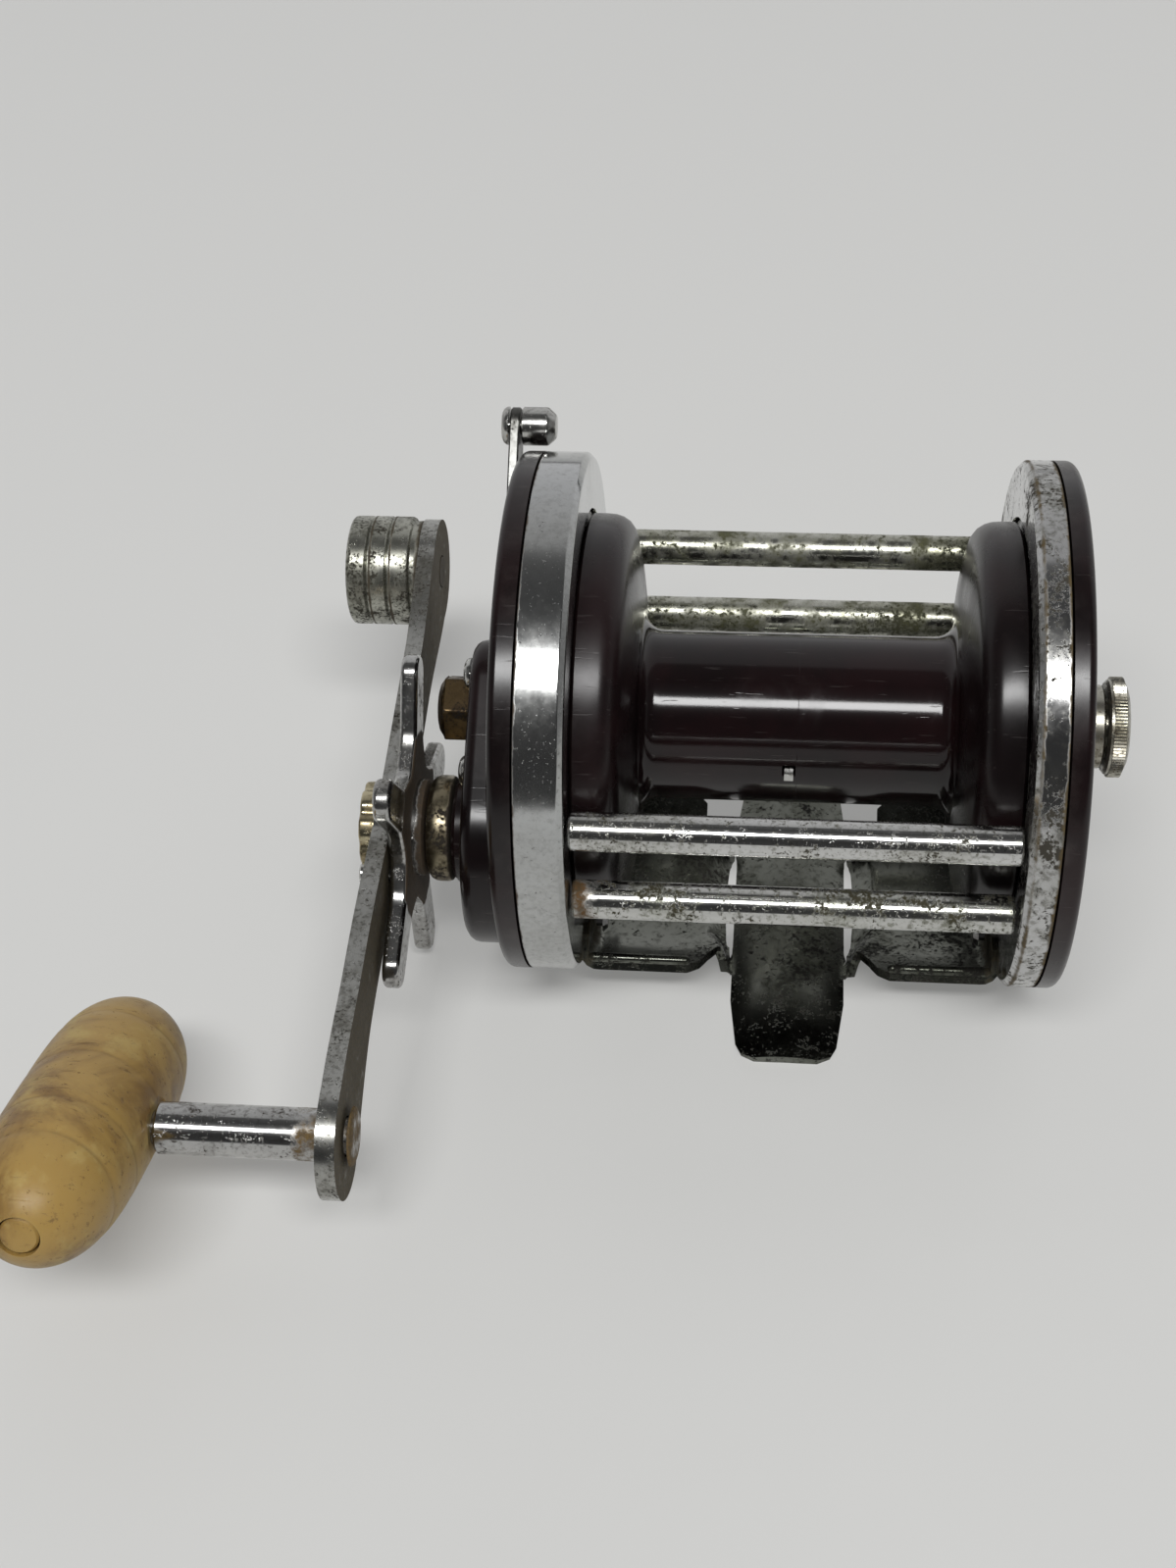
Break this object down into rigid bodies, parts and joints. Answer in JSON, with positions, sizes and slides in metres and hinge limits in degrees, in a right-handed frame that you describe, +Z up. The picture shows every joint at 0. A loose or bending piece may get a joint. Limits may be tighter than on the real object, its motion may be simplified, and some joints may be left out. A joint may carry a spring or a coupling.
{
  "type": "fishing reel",
  "caption": "Conventional star-drag fishing reel: open spool between chromed rings with dark side plates, pillars, balanced handle with amber grip, free-spool lever and saddle foot.",
  "frame": {"origin": "middle of the foot's underside, where it sits on a rod", "axes": "+X along the spool axis, away from the handle; front of the reel, where line leaves, towards -Y; +Z up from the rod seat"},
  "size_m": [0.1647, 0.1549, 0.0852],
  "materials": {
    "ring_chrome": "old chrome plate, polished, with pits and grime lines",
    "pillar_chrome": "polished chrome with rust and green bloom at the ends",
    "foot_chrome": "chrome plate, speckled and pitted",
    "trim_chrome": "chrome plate, worn",
    "screw_nickel": "dull nickel plate",
    "handle_chrome": "chrome plate with dark specks and brown wear",
    "cap_brass": "dark brown patina",
    "worn_brass": "rough golden brass with chrome worn off",
    "inner_brass": "machined, greased",
    "inner_steel": "machined",
    "dark_moulded": "dark maroon-black moulded plastic, satin with rubbed edges",
    "washer_fibre": "pressed fibre",
    "grip_amber": "amber cast plastic, worn, with dark scratches"
  },
  "bodies": {
    "frame": {"handle_ring": "ring_chrome", "tail_ring": "ring_chrome", "pillar_front_upper": "pillar_chrome", "pillar_front_lower": "pillar_chrome", "pillar_rear_upper": "pillar_chrome", "pillar_rear_lower": "pillar_chrome", "foot_stand": "foot_chrome", "foot_screw_handle_1": "inner_steel", "foot_screw_handle_2": "inner_steel", "foot_screw_tail_1": "inner_steel", "foot_screw_tail_2": "inner_steel", "handle_plate": "dark_moulded", "tail_plate": "dark_moulded", "handle_plate_screw_1": "screw_nickel", "handle_plate_screw_2": "screw_nickel", "handle_plate_screw_3": "screw_nickel", "tail_plate_screw_1": "screw_nickel", "tail_plate_screw_2": "screw_nickel", "tail_plate_screw_3": "screw_nickel", "hex_bearing_cap": "cap_brass", "handle_bushing": "inner_brass", "tail_bearing_housing": "screw_nickel", "tail_bushing": "inner_brass", "bridge_plate": "inner_brass", "gear_post": "inner_steel", "guide_post_upper": "inner_steel", "guide_post_lower": "inner_steel", "dog_pin": "inner_steel", "housing_screw_1": "trim_chrome", "housing_screw_2": "trim_chrome", "fork_spring_1": "inner_steel", "fork_spring_2": "inner_steel"},
    "tail_cap": {"tail_bearing_cap": "trim_chrome"},
    "click": {"click_button": "trim_chrome", "click_tongue": "inner_steel"},
    "spool": {"spool": "dark_moulded", "spool_shaft": "inner_steel", "line_peg": "trim_chrome", "click_gear": "inner_brass"},
    "fork": {"pinion_fork": "inner_steel"},
    "pinion": {"pinion": "inner_brass"},
    "lever": {"lever_plate": "trim_chrome", "lever_knob": "trim_chrome", "lever_cam": "inner_steel"},
    "drive": {"gear_sleeve": "inner_steel", "ratchet": "inner_steel", "drag_washer_inner": "washer_fibre", "drag_washer_middle": "inner_steel", "drag_washer_outer": "washer_fibre", "main_gear": "inner_brass", "spacer_sleeve": "worn_brass", "handle_arm": "handle_chrome", "handle_nut": "worn_brass", "nut_lock_screw": "trim_chrome", "counterweight": "handle_chrome", "grip_post": "handle_chrome"},
    "star": {"star_wheel": "handle_chrome"},
    "grip": {"grip": "grip_amber", "grip_plug": "grip_amber"},
    "dog": {"dog": "inner_steel"}
  },
  "joints": [
    {"name": "handle_turn", "type": "hinge", "parent": "frame", "child": "drive", "pos_m": [-0.06, -0.0133, 0.02804], "axis": [1, 0, 0], "continuous": true},
    {"name": "spool_spin", "type": "hinge", "parent": "frame", "child": "spool", "pos_m": [0, 0, 0.0423], "axis": [1, 0, 0], "continuous": true},
    {"name": "lever_turn", "type": "hinge", "parent": "frame", "child": "lever", "pos_m": [-0.046, 0.0143, 0.0577], "axis": [1, 0, 0], "range_deg": [0, 24]},
    {"name": "fork_slide", "type": "slide", "parent": "frame", "child": "fork", "axis": [-1, 0, 0], "range_m": [0, 0.0025], "deforming": ["fork_spring_1", "fork_spring_2"]},
    {"name": "pinion_slide", "type": "slide", "parent": "spool", "child": "pinion", "axis": [-1, 0, 0], "range_m": [0, 0.0025]},
    {"name": "star_turn", "type": "hinge", "parent": "drive", "child": "star", "pos_m": [-0.0618, -0.0133, 0.02804], "axis": [1, 0, 0], "range_deg": [-180, 180]},
    {"name": "grip_spin", "type": "hinge", "parent": "drive", "child": "grip", "pos_m": [-0.1021, -0.07111, 0.02135], "axis": [1, 0, 0], "continuous": true},
    {"name": "dog_swing", "type": "hinge", "parent": "frame", "child": "dog", "pos_m": [-0.0389, -0.0247, 0.0329], "axis": [1, 0, 0], "range_deg": [0, 12]},
    {"name": "click_slide", "type": "slide", "parent": "frame", "child": "click", "axis": [0, -0.6428, -0.766], "range_m": [0, 0.003]},
    {"name": "tail_cap_turn", "type": "hinge", "parent": "frame", "child": "tail_cap", "pos_m": [0.0497, 0, 0.0423], "axis": [1, 0, 0], "range_deg": [-90, 90]}
  ],
  "couplings": [
    {"joint": "spool_spin", "follows": "handle_turn", "ratio": -3},
    {"joint": "pinion_slide", "follows": "lever_turn", "m_per_rad": 0.0059},
    {"joint": "fork_slide", "follows": "lever_turn", "m_per_rad": 0.0059}
  ]
}
